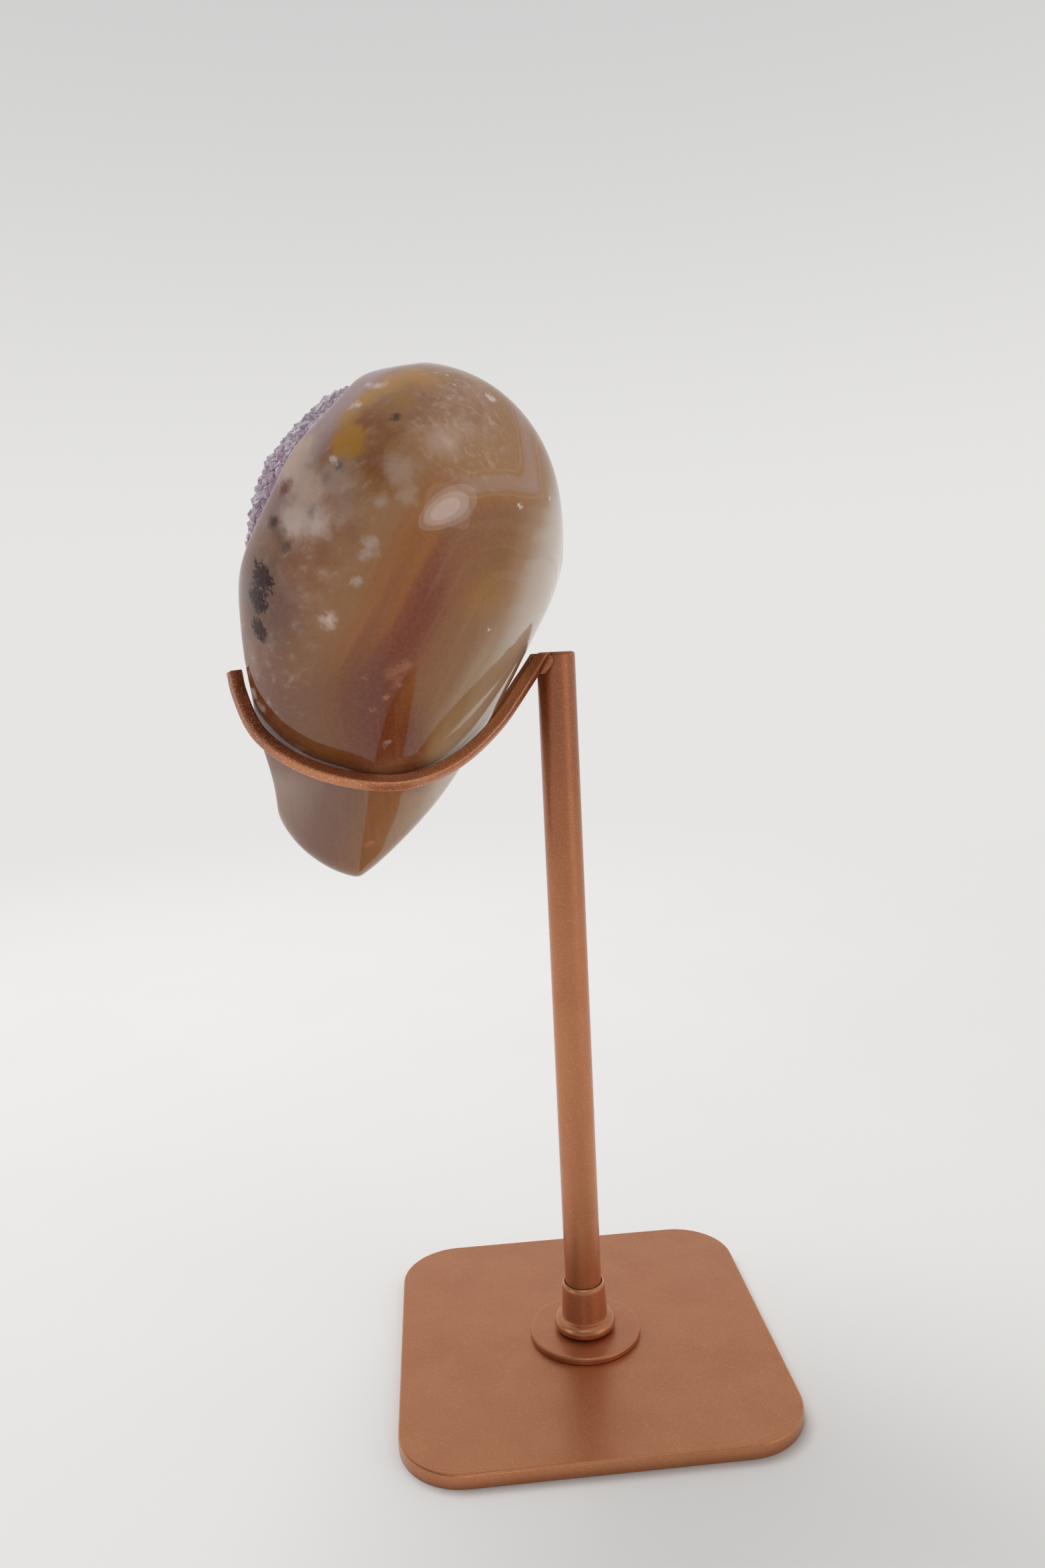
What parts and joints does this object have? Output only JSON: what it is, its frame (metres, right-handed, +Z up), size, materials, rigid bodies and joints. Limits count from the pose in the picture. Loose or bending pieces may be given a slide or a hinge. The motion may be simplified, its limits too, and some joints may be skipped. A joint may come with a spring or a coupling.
{
  "type": "druzy agate heart on stand",
  "caption": "Puffed polished agate heart with a hollow of quartz druse on its front, cradled by bent square bars on a round post and square foot plate.",
  "frame": {"origin": "middle of the foot plate's underside", "axes": "+Z up along the post, -Y towards the druse, +X towards the right-hand lobe as one looks at the druse"},
  "size_m": [0.076, 0.0776, 0.1524],
  "materials": {
    "copper": "satin copper-coloured metallic paint with a fine sparkle",
    "agate": "polished to a gloss, slightly see-through, rose-brown with amber streaks",
    "quartz": "small bright crystal faces, purple-grey"
  },
  "bodies": {
    "root": {"agate_heart": "agate", "druzy_crust": "quartz", "base_plate": "copper", "foot_disc": "copper", "ferrule": "copper", "post": "copper", "cradle_arm_right": "copper", "cradle_arm_left": "copper"}
  },
  "joints": []
}
